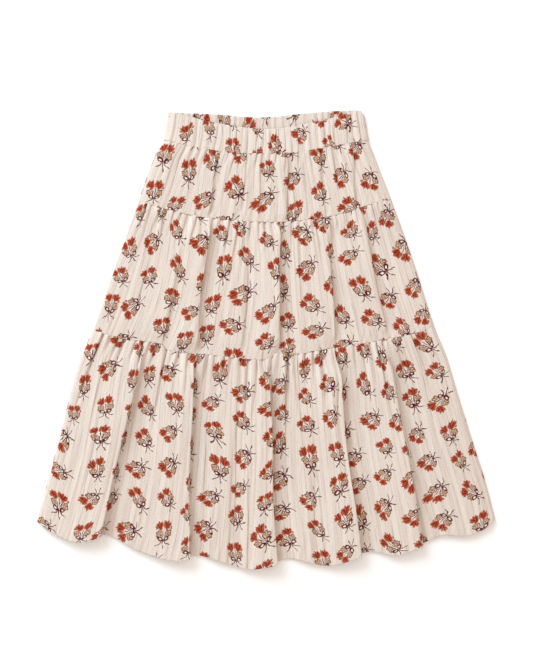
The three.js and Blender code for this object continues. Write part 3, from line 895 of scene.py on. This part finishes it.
LOWER_SHIFT = (0.074, 0.352)
HEM = [
    (-0.313, -0.248), (-0.290, -0.264), (-0.256, -0.275), (-0.219, -0.266), (-0.174, -0.287),
    (-0.125, -0.300), (-0.093, -0.294), (-0.052, -0.305), (-0.022, -0.312), (0.004, -0.307),
    (0.032, -0.298), (0.078, -0.307), (0.104, -0.303), (0.130, -0.291), (0.152, -0.289),
    (0.180, -0.293), (0.217, -0.276), (0.241, -0.266), (0.274, -0.267), (0.299, -0.257),
    (0.312, -0.246),
]
LOWER_FOLDS = [
    (-0.163, -0.196, -0.226, 0.070, 0.007, 0.030, 0.0056, 0.0080, 0.0038, 0.0050, 0.02, 1.20),
    (-0.098, -0.104, -0.105, 0.064, 0.006, 0.028, 0.0060, 0.0076, 0.0038, 0.0055, 0.00, 1.20),
    (-0.044, -0.050, -0.056, 0.034, 0.009, 0.012, 0.0014, 0.0022, 0.0010, 0.0012, 0.15, 1.20),
    (0.004, 0.007, 0.014, 0.052, 0.006, 0.032, 0.0070, 0.0090, 0.0040, 0.0060, 0.00, 1.20),
    (0.022, 0.026, 0.032, 0.010, 0.003, 0.005, 0.0030, 0.0004, 0.0040, 0.0018, 0.00, 0.55),
    (0.058, 0.060, 0.062, 0.034, 0.009, 0.012, 0.0012, 0.0018, 0.0008, 0.0012, 0.20, 1.20),
    (0.095, 0.110, 0.128, 0.056, 0.006, 0.032, 0.0062, 0.0088, 0.0040, 0.0060, 0.02, 1.20),
    (0.162, 0.188, 0.212, 0.060, 0.007, 0.028, 0.0050, 0.0072, 0.0036, 0.0050, 0.02, 1.20),
]
LOWER_TIER = {
    "top": MIDDLE_SEAM, "back_top": MIDDLE_SEAM, "bottom": HEM, "hem": True,
    "wall": CLOTH_WALL, "thick": CLOTH_THICK, "turned": 0.0005, "round": 0.5,
    "gathers": (42, 0.0034, 0.030, 0.170), "folds": LOWER_FOLDS, "loft": (0.0026, 0.0034),
    "small_folds": (30, 0.0005, 0.0018, 0.25, 0.65),
    "crinkle": 0.00026, "dip": (0.0014, 0.0), "cut": (1.380, 0.288), "grid": (820, 200, 38),
    "bake": TIER_BAKE,
}
lower_tier = tube("lower_tier", LOWER_TIER)
dressed(
    lower_tier,
    printed_cotton("lower_tier_cotton", LOWER_SHIFT, FULL_INK),
    printed_cotton("lower_tier_wrong_side", LOWER_SHIFT, WRONG_SIDE_INK),
)
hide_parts("lower_tier_front", "lower_tier_back")

# The stitching: a pale cotton thread that holds the elastic casing down just above its seam, and
# the turned hem. Each stitch dips into the cloth at both ends.

STITCH_LENGTH = 0.0026
STITCH_PITCH = 0.0035
THREAD = 0.00024
STITCH_SIDES = 6
STITCH_END_GAP = 0.008
STATIONS = 1200
CASING_STITCHES_UP = 0.0025
HEM_STITCHES_UP = 0.0085

# The rings of one stitch: its place along the stitch, how many thread radii it sinks into the
# cloth, and its share of the radius
STITCH_RINGS = ((0, 1.4, 0.5), (0.3, 0.1, 1.0), (0.7, 0.1, 1.0), (1, 1.4, 0.5))

THREAD_SHADE = (0.560, 0.470, 0.400, 1)
THREAD_BRIGHT = (0.780, 0.690, 0.610, 1)
PLY_SCALE, PLY_WANDER = 900.0, 0.4
PLY_RELIEF, PLY_DEPTH = 0.5, 0.0001
THREAD_ROUGHNESS = 0.6


def stitch_line(name, piece, up, back):
    """A row of stitches at one height over a piece's lower edge, across its front or its back."""
    share = 1 - up / piece["cut"][1]
    s = np.linspace(STITCH_END_GAP, 1 - STITCH_END_GAP, STATIONS)[None, :]
    points = layer(piece, s, np.full((1, STATIONS), share), back)[0][0]
    way = -1 if back else 1
    points[:, 2] += way * (piece["thick"] / 2 + piece["turned"] / 2)
    length = np.concatenate([[0], np.cumsum(np.linalg.norm(np.diff(points, axis=0), axis=1))])
    corners, faces = [], []
    turn = np.linspace(0, 2 * np.pi, STITCH_SIDES, endpoint=False)
    circle = np.stack([0 * turn, np.cos(turn), np.sin(turn)], 1) * THREAD
    for start in np.arange(0, length[-1] - STITCH_LENGTH, STITCH_PITCH):
        first = len(corners)
        for part, sink, size in STITCH_RINGS:
            at = [np.interp(start + part * STITCH_LENGTH, length, points[:, k]) for k in range(3)]
            middle = np.array(at) - np.array([0, 0, sink * THREAD * way])
            ring = circle * size + middle
            ring[:, 2] = np.maximum(ring[:, 2], 0)
            corners.extend(ring.tolist())
        last = first + (len(STITCH_RINGS) - 1) * STITCH_SIDES
        for ring in range(first, last, STITCH_SIDES):
            for k in range(STITCH_SIDES):
                a, b = ring + k, ring + (k + 1) % STITCH_SIDES
                faces.append((a, b, b + STITCH_SIDES, a + STITCH_SIDES))
        faces.append(tuple(first + k for k in reversed(range(STITCH_SIDES))))
        faces.append(tuple(last + k for k in range(STITCH_SIDES)))
    mesh = bpy.data.meshes.new(name)
    mesh.from_pydata(corners, [], faces)
    mesh.polygons.foreach_set("use_smooth", np.ones(len(faces), bool))
    mesh.update()
    thing = bpy.data.objects.new(name, mesh)
    bpy.context.scene.collection.objects.link(thing)
    mesh.materials.append(thread)
    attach(thing, "root")


thread = bpy.data.materials.new("cotton_thread")
thread.use_nodes = True
thread_tree = thread.node_tree
thread_surface = thread_tree.nodes["Principled BSDF"]
thread_place = node(thread_tree, "NewGeometry", {}).outputs[0]
diagonal = {"bands_direction": "DIAGONAL"}
thread_ply = node(thread_tree, "TexWave", diagonal, thread_place, PLY_SCALE, PLY_WANDER)
thread_ply = thread_ply.outputs["Fac"]
thread_colour = blend_colour(thread_tree, thread_ply, THREAD_SHADE, THREAD_BRIGHT)
thread_tree.links.new(thread_colour, thread_surface.inputs["Base Color"])
thread_bump = node(thread_tree, "Bump", {}, PLY_RELIEF, PLY_DEPTH)
thread_tree.links.new(thread_ply, thread_bump.inputs["Height"])
thread_tree.links.new(thread_bump.outputs[0], thread_surface.inputs["Normal"])
thread_surface.inputs["Roughness"].default_value = THREAD_ROUGHNESS

for name, piece, up in (
    ("casing_stitches", WAISTBAND, CASING_STITCHES_UP),
    ("hem_stitches", LOWER_TIER, HEM_STITCHES_UP),
):
    stitch_line(name + "_front", piece, up, False)
    stitch_line(name + "_back", piece, up, True)

# The floor, the light and the camera: the skirt lies on a plain pale floor under even light
# from the upper left, and the camera looks straight down on it.

FLOOR_SIZE = 24.0
FLOOR_BELOW = 0.0004
FLOOR_COLOUR = (0.985, 0.985, 0.985, 1)
FLOOR_ROUGHNESS = 0.9
floor_mesh = bpy.data.meshes.new("floor")
half = FLOOR_SIZE / 2
floor_corners = [(-half, -half, 0), (half, -half, 0), (half, half, 0), (-half, half, 0)]
floor_mesh.from_pydata(floor_corners, [], [(0, 1, 2, 3)])
floor = bpy.data.objects.new("floor", floor_mesh)
bpy.context.scene.collection.objects.link(floor)
floor.location.z = -FLOOR_BELOW
pale_floor = bpy.data.materials.new("pale_floor")
pale_floor.use_nodes = True
floor_surface = pale_floor.node_tree.nodes["Principled BSDF"]
floor_surface.inputs["Base Color"].default_value = FLOOR_COLOUR
floor_surface.inputs["Roughness"].default_value = FLOOR_ROUGHNESS
floor_mesh.materials.append(pale_floor)

KEY_HEIGHT = 31.0
KEY_WAY = 128.0
KEY_AWAY = 4.0
KEY_SIZE = 2.5
KEY_POWER = 112.0
KEY_COLOUR = (0.86, 1.08, 1.25)
key = bpy.data.lights.new("key", "AREA")
key.size = KEY_SIZE
key.energy = KEY_POWER
key.color = KEY_COLOUR
key_light = bpy.data.objects.new("key", key)
key_up, key_round = math.radians(KEY_HEIGHT), math.radians(KEY_WAY)
key_light.location = (
    KEY_AWAY * math.cos(key_up) * math.cos(key_round),
    KEY_AWAY * math.cos(key_up) * math.sin(key_round),
    KEY_AWAY * math.sin(key_up),
)
key_light.rotation_euler = (math.pi / 2 - key_up, 0, key_round + math.pi / 2)
bpy.context.scene.collection.objects.link(key_light)

SKY_STRENGTH = 0.915
SKY_COLOUR = (1.0, 0.905, 0.830, 1)
world = bpy.data.worlds.new("studio")
world.use_nodes = True
sky = world.node_tree.nodes["Background"]
sky.inputs["Color"].default_value = SKY_COLOUR
sky.inputs["Strength"].default_value = SKY_STRENGTH
bpy.context.scene.world = world
bpy.context.scene.view_settings.view_transform = "Standard"

# The camera shows a page of 666 rows at 1.36 mm each, with the skirt's middle at row 339.5
PAGE_ROWS = 666
PIXEL = 0.00136
SKIRT_MIDDLE_ROW = 339.5
LENS = 85.0
FILM = 36.0
LEVEL = 0.006
camera_data = bpy.data.cameras.new("camera")
camera_data.lens = LENS
camera_data.sensor_width = FILM
camera = bpy.data.objects.new("camera", camera_data)
camera.location = (
    0,
    (SKIRT_MIDDLE_ROW - PAGE_ROWS / 2) * PIXEL,
    LEVEL + LENS / FILM * PAGE_ROWS * PIXEL,
)
bpy.context.scene.collection.objects.link(camera)
bpy.context.scene.camera = camera
